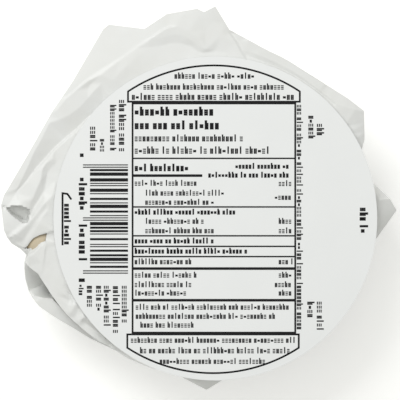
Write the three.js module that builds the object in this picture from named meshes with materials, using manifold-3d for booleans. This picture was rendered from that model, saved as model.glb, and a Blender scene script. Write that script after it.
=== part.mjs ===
// A small soft-ripened cheese wheel, shut in folded white paper under a round label.
// It lies with the label side up. Millimetres, +Z up, the table at z = 0.
// Angles run counter-clockwise from +X about the wheel's axis, and reaches are measured from that axis.

import * as THREE from "three";
import Module from "manifold-3d";

// Cheese: about 172 cubic centimetres, the volume of 180 g
const CHEESE_RADIUS = 47.5;
const CHEESE_HEIGHT = 24.7;
const CHEESE_EDGE = 5;

// Paper: plies under, round and over the cheese, and the play between paper and rind
const PLAY = 0.3;
const PAPER_UNDER = 0.6;
const PAPER_ROUND = 0.4;
const FOLDS_OVER = 1.8;
const LOWER_EDGE = 4;

// Gathered plies stand out level as a shelf at the wheel's upper edge
const SHELF = 4;
const SHELF_FOOT = 17;

// Least distances that keep one bend of the paper outside the next
const LEAST_STANDOFF = 0.2;
const LEAST_BEND = 0.1;
const LEAST_PLY = 0.4;
const LEAST_BAND = 3.5;

// Label: a thin disc stuck over the folds, set off the wheel's axis
const LABEL_RADIUS = 46;
const LABEL_THICKNESS = 0.3;
const LABEL_OFFSET = [3.5, -3.0];
const LABEL_MARGIN = 1.5;

// Creases fade out towards the paper's outer edge and the label
const EDGE_FADE = 1.2;
const LABEL_FADE = 0.5;

// Fineness of the meshes: columns are close where the paper is gathered
const GATHERED_ARC = [75, 245];
const GATHERED_STEP = 1.4;
const PLAIN_STEP = 4.5;
const BAND_STEPS = 12;
const EDGE_STEPS = 3;
const WHEEL_STEPS = 4;
const WHEEL_COLUMNS = 72;
const LABEL_COLUMNS = 120;
const SAME_PLACE = 1e-4;

const PAPER_COLOUR = 0xe6e7e2;
const RIND_COLOUR = 0xe3cda4;
const LABEL_COLOUR = 0xe2e6e5;

const radians = THREE.MathUtils.degToRad;
const lerp = THREE.MathUtils.lerp;
const clamp = THREE.MathUtils.clamp;
const pairLerp = (a, b, t) => [lerp(a[0], b[0], t), lerp(a[1], b[1], t)];

const CHEESE_FLOOR = PAPER_UNDER + PLAY;
const CHEESE_TOP = CHEESE_FLOOR + CHEESE_HEIGHT;
const WALL = CHEESE_RADIUS + PLAY + PAPER_ROUND;
const FOLDED_TOP = CHEESE_TOP + PLAY + FOLDS_OVER;
const REST_RADIUS = WALL - LOWER_EDGE;

// Where the paper lies taut on the wall, a corner needs no more than its angle
const TAUT = {
  tip: [WALL + 0.3, 12],
  shoulder: [WALL + 0.2, 15],
  hip: [WALL + 0.1, 20.5],
  rim: [47.3, 24.6],
  foot: 8,
};
const taut = (at) => ({ at, ...TAUT });

// An ear's upper face runs straight from its tip to its rim
function ear(at, tip, rim, foot = SHELF_FOOT) {
  return { at, tip, shoulder: pairLerp(tip, rim, 1 / 3), hip: pairLerp(tip, rim, 2 / 3), rim, foot };
}

const gathered = (at, tip, foot) => ear(at, tip, [tip[0] - SHELF, tip[1]], foot);

// The edge of a lower ply spreads out below the rim of the upper one
const spread = (at, tip, shoulder, hip, rim, foot) => ({ at, tip, shoulder, hip, rim, foot });

// Corners of the paper's outline. Each has the outer edge (tip) and the bends of its upper face
// (shoulder, hip and rim) as [reach, height], and the height where its under face meets the wall (foot).
const CORNERS = [
  // Dog-ear on the right
  taut(-14),
  ear(-9.8, [50.4, 24.5], [47.9, 27.2], 12),
  ear(-0.7, [55.5, 22.2], [47.9, 27.2], 12),
  ear(2.7, [53.6, 23], [47.9, 27.2], 12),
  taut(10.5),
  // Square corner at the upper right, and the straight edge that runs up from it
  taut(19),
  ear(20.6, [48.5, 25.6], [47.6, 26.2]),
  ear(22.8, [50, 25.3], [47.8, 26.4]),
  ear(31.1, [53.5, 26.9], [48.8, 27.3]),
  ear(37, [51.7, 27.1], [48.4, 27.3]),
  ear(55.5, [48.4, 27.2], [47.7, 27.3]),
  gathered(81.6, [51.3, 27.2]),
  // Doubled flap along the top, with two points
  gathered(86.5, [57.4, 27.8]),
  gathered(89.7, [55.7, 27.4]),
  gathered(91.7, [56.7, 27.4]),
  gathered(100.6, [56.1, 27.1]),
  gathered(108.1, [53.6, 27]),
  // Wide ear at the upper left, falling away from a crest
  gathered(117.2, [58.7, 26.3]),
  gathered(119.2, [58.3, 26.3]),
  gathered(135.7, [51.7, 27]),
  gathered(147.5, [50.9, 27.1]),
  // Slack edge down the left, ending in the crushed corner
  gathered(163, [52.1, 26.8]),
  gathered(173.9, [55.6, 26.4], 12),
  gathered(176.3, [56.8, 26.35], 10),
  gathered(179.2, [57.5, 26.5], 8),
  gathered(186.4, [57, 26.9], 8),
  gathered(188.5, [56.4, 26.6], 8),
  gathered(190.5, [55.5, 25.6], 8),
  gathered(192.8, [53.2, 25.2], 9),
  // Notch below the slit, then the lower ply that spreads out under the rim
  spread(194.8, [52.3, 22.5], [52, 23], [51.6, 23.5], [51.5, 25], 9),
  spread(197, [53.5, 22], [53.3, 22.3], [53.1, 23], [53, 25.2], 8),
  spread(199, [54.2, 20.5], [53.9, 20.8], [52.5, 21.5], [52.2, 25.6], 7),
  spread(201.8, [55.1, 18.5], [54.8, 18.7], [50.9, 19], [50.6, 25.8], 5.5),
  spread(205.5, [55.8, 16], [55.4, 16.3], [50.4, 13.5], [50.1, 26], 4.6),
  spread(207.4, [55.4, 20.5], [54.4, 21], [50.1, 11.5], [49.9, 26], 4.6),
  spread(209.3, [55.1, 21.5], [52.6, 22], [50, 10.5], [49.8, 26.1], 4.6),
  spread(211, [54.8, 21.5], [50.4, 22.2], [49.5, 16], [49.65, 26.1], 5),
  spread(214.7, [53.4, 21.5], [49.8, 22.3], [49.2, 18], [49.45, 26.1], 6),
  spread(218.1, [52.2, 21.3], [49.65, 22], [49, 17], [49.3, 26.1], 6),
  spread(223, [50.7, 20.8], [49.2, 21.4], [48.6, 15], [48.8, 26], 6),
  spread(229, [49.6, 20], [48.8, 20.6], [48.4, 12], [48.4, 25.9], 6.5),
  spread(236, [48.9, 12], [48.7, 12.6], [48.4, 13], [47.7, 25.4], 7),
  taut(243),
  // Dog-ear at the bottom
  taut(258),
  ear(262.9, [48.7, 25], [47.8, 27], 12),
  ear(271.1, [52.1, 22.6], [47.9, 27], 12),
  ear(276, [49.7, 24.2], [47.8, 27], 12),
  taut(281),
  taut(346),
];

// Creases pressed into the upper face: a run of [x, y] points, the rise at its line
// (a valley's is negative) and how far each side of the line it fades out
const CREASES = [
  // Crest of the wide ear, and the hollow and edge of the flap along the top
  { run: [[-7.4, 51.7], [-14.5, 48.3], [-29.1, 37.8], [-41.5, 27.7]], rise: 0.4, width: 2.4 },
  { run: [[-12.2, 46.1], [-5, 46.9], [3.4, 44.7]], rise: -0.55, width: 1.8 },
  { run: [[-7.4, 51.7], [-3.7, 50.2], [0.9, 45.2]], rise: 0.3, width: 1.4 },
  { run: [[7.6, 49.9], [10.7, 44.4], [12.3, 41.6]], rise: 0.35, width: 1.2 },
  // Valley down to the square corner, and the ridge across that corner
  { run: [[12.5, 43.5], [21, 40.4], [37.4, 29.8]], rise: -0.3, width: 1.2 },
  { run: [[38.2, 28.9], [45.9, 27.8]], rise: 0.3, width: 2 },
  // Tuck beside the ear, and the brow of the strip outside it
  { run: [[-28.2, 30.4], [-36, 22.6], [-45.6, 13.6], [-50.3, 7.7]], rise: -0.95, width: 3.4 },
  { run: [[-43.7, 24.2], [-48.2, 15.6], [-53, 5.4]], rise: 0.4, width: 2.2 },
  // Pleats of the crushed corner on the left
  { run: [[-43, 12.3], [-44.7, 7.7], [-48.8, -1.4]], rise: -0.8, width: 1.7 },
  { run: [[-43.6, 3.6], [-48.4, -1.6]], rise: -0.5, width: 1.2 },
  { run: [[-44.7, 0.1], [-48, -3.6], [-50.1, -6.8]], rise: -0.5, width: 1.3 },
  { run: [[-54.8, 0.9], [-52, 1.2], [-49.7, 0.5]], rise: 0.5, width: 1.2 },
  { run: [[-54.5, -0.7], [-50.8, -2.4]], rise: -2.8, width: 2.1 },
  { run: [[-46.9, -7.4], [-50.6, -10.8]], rise: 0.7, width: 2.4 },
  { run: [[-44.9, -11.6], [-45.3, -17.8]], rise: -0.5, width: 1.6 },
  // Sunken strip beside the label at the lower left, deeper at its end
  { run: [[-43, -12], [-39.9, -25.1], [-33.9, -33]], rise: -0.8, width: 2.6 },
  { run: [[-31.7, -34.2], [-26.5, -38.5]], rise: -1.4, width: 1.8 },
];

// Slit where two plies part at the left, as a lens seen from above
const SLIT_OUTLINE = [
  [-44.4, -7.2], [-46.5, -7.7], [-48.3, -8.6], [-49.1, -9.5], [-50, -10.8], [-50.9, -11.6],
  [-50.3, -11.7], [-49.2, -11.4], [-48.1, -11.1], [-47.3, -10.6], [-46.3, -9.9], [-44.9, -9.4],
  [-44.7, -8.5],
];
const SLIT_FLOOR = 20.5;
const SLIT_OVER = 4;

// Distance from a point to a run of straight stretches
function distanceToRun(x, y, run) {
  let nearest = Infinity;
  for (let i = 1; i < run.length; i += 1) {
    const [ax, ay] = run[i - 1];
    const [bx, by] = run[i];
    const along = ((x - ax) * (bx - ax) + (y - ay) * (by - ay)) / ((bx - ax) ** 2 + (by - ay) ** 2);
    const t = clamp(along, 0, 1);
    nearest = Math.min(nearest, Math.hypot(x - lerp(ax, bx, t), y - lerp(ay, by, t)));
  }
  return nearest;
}

// Height that the creases add at a point of the upper face
function relief(x, y) {
  const fromLabel = Math.hypot(x - LABEL_OFFSET[0], y - LABEL_OFFSET[1]) - LABEL_RADIUS;
  const clear = clamp(fromLabel / LABEL_FADE, 0, 1);
  let rise = 0;
  for (const crease of CREASES) {
    const away = distanceToRun(x, y, crease.run);
    rise += crease.rise * Math.max(0, 1 - away / crease.width);
  }
  return rise * clear;
}

// Lowest height that the upper face may have at a reach and still cover the hollow
function coverHeight(reach) {
  const bend = reach - (CHEESE_RADIUS + PLAY - CHEESE_EDGE);
  if (bend >= CHEESE_EDGE) return 0;
  const top = CHEESE_TOP + PLAY + PAPER_ROUND;
  if (bend <= 0) return top;
  return top - CHEESE_EDGE + Math.sqrt(CHEESE_EDGE ** 2 - bend ** 2);
}

// The two corners that an angle lies between, with how far it is from the first to the second
function cornersAt(angle) {
  const first = CORNERS[0].at;
  const turned = ((((angle - first) % 360) + 360) % 360) + first;
  const next = CORNERS.findIndex((item) => item.at > turned);
  const b = next < 0 ? { ...CORNERS[0], at: first + 360 } : CORNERS[next];
  const a = next < 0 ? CORNERS[CORNERS.length - 1] : CORNERS[next - 1];
  return { a, b, t: (turned - a.at) / (b.at - a.at) };
}

// Reach at an angle of the straight edge between the tips of two corners
function chordReach(angle, a, b) {
  const left = a.tip[0] * Math.sin(radians(angle - a.at));
  const right = b.tip[0] * Math.sin(radians(b.at - angle));
  return (a.tip[0] * b.tip[0] * Math.sin(radians(b.at - a.at))) / (left + right);
}

// Reach at an angle of the label's edge
function labelReach(direction) {
  const across = direction[0] * LABEL_OFFSET[0] + direction[1] * LABEL_OFFSET[1];
  const aside = direction[0] * LABEL_OFFSET[1] - direction[1] * LABEL_OFFSET[0];
  return across + Math.sqrt(LABEL_RADIUS ** 2 - aside ** 2);
}

// Points that divide a stretch into even steps, with its end but not its start
function divided(from, to, steps) {
  return Array.from({ length: steps }, (_, i) => pairLerp(from, to, (i + 1) / steps));
}

// Points of a quarter round from its foot up to its side, with its side but not its foot
function quarterRound(foot, radius, steps) {
  return Array.from({ length: steps }, (_, i) => {
    const turn = radians((90 * (i + 1)) / steps);
    return [foot[0] + radius * Math.sin(turn), foot[1] + radius * (1 - Math.cos(turn))];
  });
}

// Points from the rim in to the seat under the label, steep at first and then level
function band(rim, seat) {
  return Array.from({ length: BAND_STEPS - 1 }, (_, i) => {
    const part = (i + 1) / BAND_STEPS;
    return [lerp(rim[0], seat[0], part), lerp(rim[1], seat[1], 1 - (1 - part) ** 2)];
  });
}

// Profile of the wrapped wheel at an angle, from the table up to the folded top
function columnAt(angle) {
  const { a, b, t } = cornersAt(angle);
  const direction = [Math.cos(radians(angle)), Math.sin(radians(angle))];
  const tip = pairLerp(a.tip, b.tip, t);
  tip[0] = Math.max(chordReach(lerp(a.at, b.at, t), a, b), WALL + LEAST_STANDOFF);
  const shoulder = pairLerp(a.shoulder, b.shoulder, t);
  shoulder[0] = Math.min(shoulder[0], tip[0] - LEAST_BEND);
  const hip = pairLerp(a.hip, b.hip, t);
  hip[0] = Math.min(hip[0], shoulder[0] - LEAST_BEND);
  const rim = pairLerp(a.rim, b.rim, t);
  rim[0] = Math.min(rim[0], tip[0] - LEAST_PLY);
  const foot = [WALL, lerp(a.foot, b.foot, t)];
  const seat = [Math.min(labelReach(direction) - LABEL_MARGIN, rim[0] - LEAST_BAND), FOLDED_TOP];

  const raise = ([reach, height]) => {
    const edge = clamp((tip[0] - reach) / EDGE_FADE, 0, 1);
    const lift = relief(reach * direction[0], reach * direction[1]);
    return [reach, Math.max(height + lift * edge, coverHeight(reach))];
  };
  const upperFace = [
    ...divided(tip, shoulder, 3),
    ...divided(shoulder, hip, 2),
    ...divided(hip, rim, 2),
    ...band(rim, seat),
  ];
  return [
    [REST_RADIUS, 0],
    ...quarterRound([REST_RADIUS, 0], LOWER_EDGE, EDGE_STEPS),
    foot,
    ...divided(foot, tip, 2),
    ...upperFace.map(raise),
    seat,
  ];
}

// Closed body from rings of points of equal count, shut by a centre point at both ends
function bodyFromColumns(angles, profiles) {
  const rings = profiles[0].length;
  const columns = angles.length;
  const position = [];
  angles.forEach((angle, column) => {
    profiles[column].forEach(([reach, height]) => {
      position.push(reach * Math.cos(radians(angle)), reach * Math.sin(radians(angle)), height);
    });
  });
  const below = columns * rings;
  const above = below + 1;
  position.push(0, 0, profiles[0][0][1]);
  position.push(0, 0, profiles[0][rings - 1][1]);
  const index = [];
  for (let column = 0; column < columns; column += 1) {
    const here = column * rings;
    const next = ((column + 1) % columns) * rings;
    index.push(below, next, here);
    for (let ring = 0; ring < rings - 1; ring += 1) {
      index.push(here + ring, next + ring, next + ring + 1);
      index.push(here + ring, next + ring + 1, here + ring + 1);
    }
    index.push(above, here + rings - 1, next + rings - 1);
  }
  const geometry = new THREE.BufferGeometry();
  geometry.setAttribute("position", new THREE.Float32BufferAttribute(position, 3));
  geometry.setIndex(index);
  return geometry;
}

// Angles of the columns: every corner, and even steps between
function columnAngles() {
  const angles = [];
  CORNERS.forEach((item, i) => {
    const end = i + 1 < CORNERS.length ? CORNERS[i + 1].at : CORNERS[0].at + 360;
    const middle = (item.at + end) / 2;
    const close = middle > GATHERED_ARC[0] && middle < GATHERED_ARC[1];
    const steps = Math.max(1, Math.round((end - item.at) / (close ? GATHERED_STEP : PLAIN_STEP)));
    for (let step = 0; step < steps; step += 1) angles.push(lerp(item.at, end, step / steps));
  });
  return angles;
}

// Wheel with rounded edges, grown all round by a margin
function wheelGeometry(margin) {
  const low = CHEESE_FLOOR - margin;
  const high = CHEESE_TOP + margin;
  const foot = [CHEESE_RADIUS + margin - CHEESE_EDGE, 0];
  const edge = [foot, ...quarterRound(foot, CHEESE_EDGE, WHEEL_STEPS)];
  const lower = edge.map(([reach, height]) => [reach, low + height]);
  const upper = edge.map(([reach, height]) => [reach, high - height]).reverse();
  const angles = Array.from({ length: WHEEL_COLUMNS }, (_, i) => (360 * i) / WHEEL_COLUMNS);
  return bodyFromColumns(angles, angles.map(() => [...lower, ...upper]));
}

function slitGeometry() {
  const outline = new THREE.Shape(SLIT_OUTLINE.map(([x, y]) => new THREE.Vector2(x, y)));
  const depth = FOLDED_TOP + SLIT_OVER - SLIT_FLOOR;
  const geometry = new THREE.ExtrudeGeometry(outline, { depth, bevelEnabled: false });
  return geometry.translate(0, 0, SLIT_FLOOR);
}

// Joins vertices that share a place, as a solid for cutting needs
function solidFrom(wasm, geometry) {
  const source = geometry.index ? geometry.toNonIndexed() : geometry;
  const place = source.getAttribute("position");
  const seen = new Map();
  const vertProperties = [];
  const triVerts = [];
  for (let i = 0; i < place.count; i += 1) {
    const point = [place.getX(i), place.getY(i), place.getZ(i)];
    const key = point.map((value) => Math.round(value / SAME_PLACE)).join(",");
    if (!seen.has(key)) {
      seen.set(key, seen.size);
      vertProperties.push(...point);
    }
    triVerts.push(seen.get(key));
  }
  return new wasm.Manifold(
    new wasm.Mesh({
      numProp: 3,
      vertProperties: new Float32Array(vertProperties),
      triVerts: new Uint32Array(triVerts),
    }),
  );
}

function geometryFrom(solid) {
  const mesh = solid.getMesh();
  const geometry = new THREE.BufferGeometry();
  geometry.setAttribute("position", new THREE.BufferAttribute(mesh.vertProperties, 3));
  geometry.setIndex(new THREE.BufferAttribute(mesh.triVerts, 1));
  geometry.computeVertexNormals();
  return geometry;
}

function namedMesh(name, geometry, color, roughness) {
  const material = new THREE.MeshStandardMaterial({ color, roughness, metalness: 0, flatShading: true });
  const mesh = new THREE.Mesh(geometry, material);
  mesh.name = name;
  return mesh;
}

function makeWrapper(wasm) {
  const angles = columnAngles();
  const outer = solidFrom(wasm, bodyFromColumns(angles, angles.map(columnAt)));
  const hollow = solidFrom(wasm, wheelGeometry(PLAY));
  const slit = solidFrom(wasm, slitGeometry());
  const shell = outer.subtract(hollow).subtract(slit);
  return namedMesh("wrapper", geometryFrom(shell), PAPER_COLOUR, 0.55);
}

function makeCheese() {
  return namedMesh("cheese", wheelGeometry(0), RIND_COLOUR, 0.85);
}

function makeLabel() {
  const disc = new THREE.CylinderGeometry(LABEL_RADIUS, LABEL_RADIUS, LABEL_THICKNESS, LABEL_COLUMNS);
  disc.rotateX(Math.PI / 2);
  const mesh = namedMesh("label", disc, LABEL_COLOUR, 0.6);
  mesh.position.set(...LABEL_OFFSET, FOLDED_TOP + PLAY + LABEL_THICKNESS / 2);
  return mesh;
}

const wasm = await Module();
wasm.setup();

// The part's origin is the middle of its footprint, on the table
const wheel = new THREE.Group();
wheel.add(makeCheese(), makeWrapper(wasm), makeLabel());
const footprint = new THREE.Box3().setFromObject(wheel);
const middle = footprint.getCenter(new THREE.Vector3());
wheel.position.set(-middle.x, -middle.y, 0);

const part = new THREE.Group();
part.add(wheel);

export default part;
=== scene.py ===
"""Looks of a small soft-ripened cheese wheel, shut in folded white paper under a round label.

The wheel lies with its label side up. Shapes are worked out in millimetres about the wheel's own axis,
with angles counter-clockwise from +X, and become metres in the part's frame as each mesh is made.
"""

from __future__ import annotations

import logging
import math
import random
from collections.abc import Iterator
from dataclasses import dataclass, replace
from enum import Enum, IntEnum

import bpy
import numpy as np
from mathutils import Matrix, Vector, noise
from mathutils.geometry import delaunay_2d_cdt

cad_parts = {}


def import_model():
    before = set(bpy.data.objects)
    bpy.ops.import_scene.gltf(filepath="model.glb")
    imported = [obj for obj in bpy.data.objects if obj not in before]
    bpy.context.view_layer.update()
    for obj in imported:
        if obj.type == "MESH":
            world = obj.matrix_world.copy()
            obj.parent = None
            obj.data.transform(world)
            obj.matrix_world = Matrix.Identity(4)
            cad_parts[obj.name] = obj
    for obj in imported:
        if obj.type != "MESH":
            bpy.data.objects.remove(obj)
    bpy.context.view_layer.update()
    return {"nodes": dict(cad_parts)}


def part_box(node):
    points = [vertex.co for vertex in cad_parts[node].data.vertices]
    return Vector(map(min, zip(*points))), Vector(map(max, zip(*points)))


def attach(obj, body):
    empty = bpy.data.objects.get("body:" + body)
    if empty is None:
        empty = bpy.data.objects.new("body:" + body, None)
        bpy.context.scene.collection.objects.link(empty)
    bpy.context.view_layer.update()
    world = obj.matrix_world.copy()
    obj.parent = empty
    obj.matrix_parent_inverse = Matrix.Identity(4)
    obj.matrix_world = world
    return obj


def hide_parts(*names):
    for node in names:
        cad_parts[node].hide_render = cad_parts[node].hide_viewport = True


LOG = logging.getLogger("cheese_wheel")
MM = 0.001
HALF = 0.5
NEARLY_LEVEL = 0.9

Pair = tuple[float, float]
Triple = tuple[float, float, float]


def mix(a: float, b: float, t: float) -> float:
    """Value a part t of the way from a to b."""
    return a + (b - a) * t


def mix_pair(a: Pair, b: Pair, t: float) -> Pair:
    """Point a part t of the way from a to b."""
    return mix(a[0], b[0], t), mix(a[1], b[1], t)


def deselect_all() -> None:
    """Leaves no object selected, so that an operator acts on new work alone."""
    bpy.ops.object.select_all(action="DESELECT")


def add_object(name: str, data: bpy.types.ID) -> bpy.types.Object:
    """Adds an object for a mesh, a light or a camera to the scene.

    Args:
        name: the new object's name.
        data: what the object shows.

    Returns:
        The new object.
    """
    item = bpy.data.objects.new(name, data)
    bpy.context.scene.collection.objects.link(item)
    return item


def apply_modifiers(piece: bpy.types.Object) -> None:
    """Applies every modifier of a piece, in order.

    Args:
        piece: the object that has the modifiers.
    """
    bpy.context.view_layer.objects.active = piece
    for modifier in list(piece.modifiers):
        bpy.ops.object.modifier_apply(modifier=modifier.name)


def vertex_places(mesh: bpy.types.Mesh) -> np.ndarray:
    """Places of a mesh's vertices as rows of X, Y and Z.

    Args:
        mesh: the mesh to read.

    Returns:
        The places in the mesh's own units.
    """
    flat = np.empty(len(mesh.vertices) * 3, np.float32)
    mesh.vertices.foreach_get("co", flat)
    return flat.reshape(-1, 3).astype(float)


def set_vertex_places(mesh: bpy.types.Mesh, places: np.ndarray) -> None:
    """Moves a mesh's vertices to new places, given as rows of X, Y and Z."""
    mesh.vertices.foreach_set("co", places.astype(np.float32).ravel())
    mesh.update()


@dataclass(frozen=True)
class Sizes:
    """Driving sizes of the wrapped wheel, in millimetres."""

    cheese_radius: float = 47.5
    cheese_height: float = 24.7
    cheese_edge: float = 5.0
    play: float = 0.3
    paper_under: float = 0.6
    paper_round: float = 0.4
    folds_over: float = 1.8
    lower_edge: float = 4.0
    label_radius: float = 46.0
    label_offset: Pair = (3.5, -3.0)
    label_margin: float = 1.5

    @property
    def wall(self) -> float:
        """Reach of the paper where it lies taut on the cheese's side."""
        return self.cheese_radius + self.play + self.paper_round

    @property
    def cheese_top(self) -> float:
        """Height of the cheese's upper face."""
        return self.paper_under + self.play + self.cheese_height

    @property
    def folded_top(self) -> float:
        """Height of the folded paper under the label."""
        return self.cheese_top + self.play + self.folds_over


SIZES = Sizes()


@dataclass(frozen=True)
class Corner:
    """A corner of the paper's outline: bends as (reach, height) at an angle about the axis."""

    at: float
    tip: Pair = (SIZES.wall + 0.3, 12.0)
    shoulder: Pair = (SIZES.wall + 0.2, 15.0)
    hip: Pair = (SIZES.wall + 0.1, 20.5)
    rim: Pair = (47.3, 24.6)
    foot: float = 8.0


def ear(at: float, tip: Pair, rim: Pair, foot: float = 17.0) -> Corner:
    """Corner whose paper runs straight from its tip to its rim."""
    return Corner(at, tip, mix_pair(tip, rim, 0.33), mix_pair(tip, rim, 0.66), rim, foot)


SHELF = 4.0


def gathered(at: float, tip: Pair, foot: float = 17.0) -> Corner:
    """Corner of the gathered plies, a shelf of paper that stands out at the wheel's upper edge."""
    return ear(at, tip, (tip[0] - SHELF, tip[1]), foot)


CORNERS: tuple[Corner, ...] = (
    Corner(-14.0),
    ear(-9.8, (50.4, 24.5), (47.9, 27.2), 12.0),
    ear(-0.7, (55.5, 22.2), (47.9, 27.2), 12.0),
    ear(2.7, (53.6, 23.0), (47.9, 27.2), 12.0),
    Corner(10.5),
    Corner(19.0),
    ear(20.6, (48.5, 25.6), (47.6, 26.2)),
    ear(22.8, (50.0, 25.3), (47.8, 26.4)),
    ear(27.0, (51.6, 26.0), (48.3, 26.9)),
    ear(31.1, (53.5, 26.9), (48.8, 27.3)),
    ear(37.0, (51.7, 27.1), (48.4, 27.35)),
    ear(55.5, (48.4, 27.2), (47.7, 27.35)),
    gathered(81.6, (51.3, 27.2)),
    gathered(86.5, (57.4, 27.8)),
    gathered(89.7, (55.7, 27.4)),
    gathered(91.7, (56.7, 27.4)),
    gathered(100.6, (56.1, 27.1)),
    gathered(108.1, (53.6, 27.0)),
    gathered(117.2, (58.7, 26.3)),
    gathered(119.2, (58.3, 26.3)),
    gathered(135.7, (51.7, 27.0)),
    gathered(147.5, (50.9, 27.1)),
    gathered(163.0, (52.1, 26.8)),
    gathered(173.9, (55.6, 26.4), 12.0),
    gathered(176.3, (56.8, 26.35), 10.0),
    gathered(179.2, (57.5, 26.5), 8.0),
    gathered(186.4, (57.0, 26.9), 8.0),
    gathered(188.5, (56.4, 26.6), 8.0),
    gathered(190.5, (55.5, 25.6), 8.0),
    gathered(192.8, (53.2, 25.2), 9.0),
    Corner(194.8, (52.3, 22.5), (52.0, 23.0), (51.6, 23.5), (51.5, 25.0), 9.0),
    Corner(197.0, (53.5, 22.0), (53.3, 22.3), (53.1, 23.0), (53.0, 25.2)),
    Corner(199.0, (54.2, 20.5), (53.9, 20.8), (52.5, 21.5), (52.2, 25.6), 7.0),
    Corner(201.8, (55.1, 18.5), (54.8, 18.7), (50.9, 19.0), (50.6, 25.8), 5.5),
    Corner(205.5, (55.8, 16.0), (55.4, 16.3), (50.4, 13.5), (50.1, 26.0), 4.6),
    Corner(207.4, (55.4, 20.5), (54.4, 21.0), (50.1, 11.5), (49.9, 26.0), 4.6),
    Corner(209.3, (55.1, 21.5), (52.6, 22.0), (50.0, 10.5), (49.8, 26.1), 4.6),
    Corner(211.0, (54.8, 21.5), (50.4, 22.2), (49.5, 16.0), (49.65, 26.1), 5.0),
    Corner(214.7, (53.4, 21.5), (49.8, 22.3), (49.2, 18.0), (49.45, 26.1), 6.0),
    Corner(218.1, (52.2, 21.3), (49.65, 22.0), (49.0, 17.0), (49.3, 26.1), 6.0),
    Corner(223.0, (50.7, 20.8), (49.2, 21.4), (48.6, 15.0), (48.8, 26.0), 6.0),
    Corner(229.0, (49.6, 20.0), (48.8, 20.6), (48.4, 12.0), (48.4, 25.9), 6.5),
    Corner(236.0, (48.9, 12.0), (48.7, 12.6), (48.4, 13.0), (47.7, 25.4), 7.0),
    Corner(243.0),
    Corner(258.0),
    ear(262.9, (48.7, 25.0), (47.8, 27.0), 12.0),
    ear(271.1, (52.1, 22.6), (47.9, 27.0), 12.0),
    ear(276.0, (49.7, 24.2), (47.8, 27.0), 12.0),
    Corner(281.0),
)


@dataclass(frozen=True)
class FoldLine:
    """A line where the gathered paper folds, as (x, y, height) points."""

    name: str
    points: tuple[Triple, ...]


CORNER_FOLDS: tuple[FoldLine, ...] = (
    FoldLine("corner ridge", (
        (36.2, 30.2, 27.4), (40.4, 28.8, 27.45), (43.3, 28.0, 27.3), (45.6, 27.4, 27.0),
    )),
    FoldLine("strip rise", (
        (34.6, 35.2, 27.35), (28.8, 38.6, 27.35), (23.0, 41.9, 27.35), (17.4, 45.2, 27.4),
        (13.0, 47.6, 27.4),
    )),
)

PEAK_FOLDS: tuple[FoldLine, ...] = (
    FoldLine("peak face", ((2.8, 52.9, 27.3), (0.6, 50.6, 27.4))),
    FoldLine("peak side", ((5.1, 48.9, 27.4),)),
    FoldLine("peak foot", ((0.0, 44.1, 27.2), (3.4, 44.7, 27.15), (6.5, 44.4, 27.2))),
    FoldLine("flap edge", (
        (7.6, 49.9, 27.1), (9.3, 47.2, 27.35), (10.7, 44.4, 27.4), (12.3, 41.6, 27.5),
    )),
    FoldLine("flap edge foot", (
        (8.0, 49.8, 26.8), (9.8, 47.2, 27.05), (11.2, 44.4, 27.15), (12.8, 41.8, 27.25),
    )),
    FoldLine("top ridge", (
        (-14.5, 48.3, 27.6), (-12.2, 49.9, 27.65), (-9.9, 51.2, 27.65), (-7.4, 51.7, 27.6),
    )),
    FoldLine("top ridge outside", ((-14.8, 48.8, 27.3), (-12.5, 50.4, 27.3), (-10.1, 51.7, 27.3))),
    FoldLine("top ridge side", (
        (-7.4, 51.7, 27.6), (-3.7, 50.2, 27.7), (-0.9, 48.3, 27.7), (0.9, 45.2, 27.6),
    )),
    FoldLine("top hollow start", (
        (-11.9, 48.3, 27.55), (-9.1, 49.3, 27.5), (-6.5, 49.3, 27.5), (-4.0, 48.2, 27.55),
        (-2.0, 46.6, 27.5),
    )),
    FoldLine("top hollow", (
        (-15.1, 45.8, 27.35), (-12.2, 46.1, 27.25), (-9.4, 46.9, 27.15), (-6.5, 46.9, 27.05),
        (-3.7, 46.1, 27.05), (-1.7, 44.7, 27.2),
    )),
)

EAR_FOLDS: tuple[FoldLine, ...] = (
    FoldLine("ear crest", (
        (-14.5, 48.3, 27.55), (-18.8, 45.5, 27.45), (-23.6, 42.1, 27.5), (-29.1, 37.8, 27.75),
        (-32.7, 36.2, 27.65), (-36.1, 33.5, 27.5), (-38.7, 31.3, 27.4), (-41.5, 27.7, 27.3),
    )),
    FoldLine("ear crest outside", (
        (-19.1, 45.9, 27.3), (-23.9, 42.5, 27.35), (-29.9, 38.9, 27.3), (-32.9, 36.7, 27.3),
        (-36.4, 33.9, 27.2), (-39.0, 31.7, 27.1),
    )),
    FoldLine("ear dip", ((-31.9, 35.3, 27.3), (-32.7, 34.1, 27.2))),
    FoldLine("ear valley", ((-17.9, 43.8, 27.6), (-21.6, 40.4, 27.7), (-25.6, 36.4, 27.7))),
    FoldLine("brow", (
        (-28.7, 35.5, 27.5), (-30.6, 33.7, 27.6), (-32.7, 31.3, 27.45), (-35.0, 28.7, 27.4),
        (-37.8, 26.6, 27.35), (-40.7, 25.2, 27.35), (-43.7, 24.2, 27.3), (-46.1, 19.3, 27.2),
        (-48.2, 15.6, 27.1), (-49.8, 11.9, 27.0), (-51.5, 8.4, 26.9), (-53.0, 5.4, 26.6),
    )),
    FoldLine("tuck foot", (
        (-28.2, 30.4, 26.9), (-30.2, 28.5, 26.7), (-31.9, 26.6, 26.6), (-33.0, 25.6, 26.5),
        (-36.0, 22.6, 26.4), (-39.4, 19.8, 26.3), (-42.6, 16.9, 26.25), (-45.6, 13.6, 26.2),
        (-47.8, 11.1, 26.3), (-50.3, 7.7, 26.45), (-53.1, 4.7, 26.3),
    )),
)

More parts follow.
